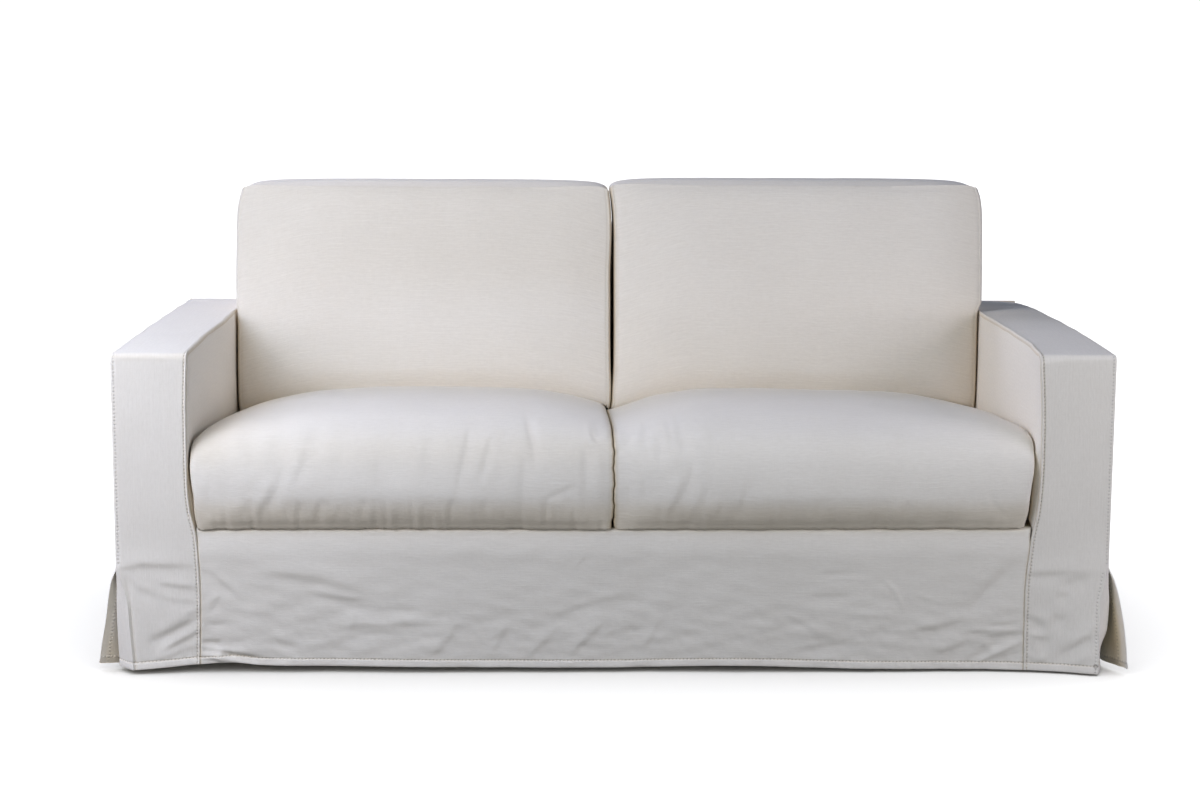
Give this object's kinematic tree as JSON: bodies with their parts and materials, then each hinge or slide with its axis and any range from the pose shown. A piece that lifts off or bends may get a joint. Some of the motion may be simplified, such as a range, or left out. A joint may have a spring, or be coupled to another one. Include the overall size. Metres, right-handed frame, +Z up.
{
  "type": "sofa slipcover",
  "caption": "Loose fitted sofa cover, hollow and open at the floor, with square arms, corner vents and loose filled seat and back cushions.",
  "frame": {"origin": "the middle of the back's top, on the underside of its cloth, where the sofa frame left out carries the cover", "axes": "+X along the sofa's width towards its right arm as seen from the front, +Y towards the back, +Z up; the front faces -Y and the floor is at z -0.7975"},
  "size_m": [1.9775, 0.9833, 0.9031],
  "materials": {
    "cover_cloth": "ivory cotton and linen weave with slubs, matte",
    "cushion_cloth": "ivory cotton and linen weave with slubs, matte",
    "deck_cloth": "plain ivory cotton, matte"
  },
  "bodies": {
    "root": {"front_border": "cover_cloth", "seat_deck": "deck_cloth", "arm_band_L": "cover_cloth", "arm_band_R": "cover_cloth", "inside_arm_L": "cover_cloth", "inside_arm_R": "cover_cloth", "outside_arm_L": "cover_cloth", "outside_arm_R": "cover_cloth", "inside_back": "deck_cloth", "back_boxing": "cover_cloth", "outside_back": "cover_cloth", "seat_cushion_L": "cushion_cloth", "seat_cushion_R": "cushion_cloth", "back_cushion_L": "cushion_cloth", "back_cushion_R": "cushion_cloth"}
  },
  "joints": []
}
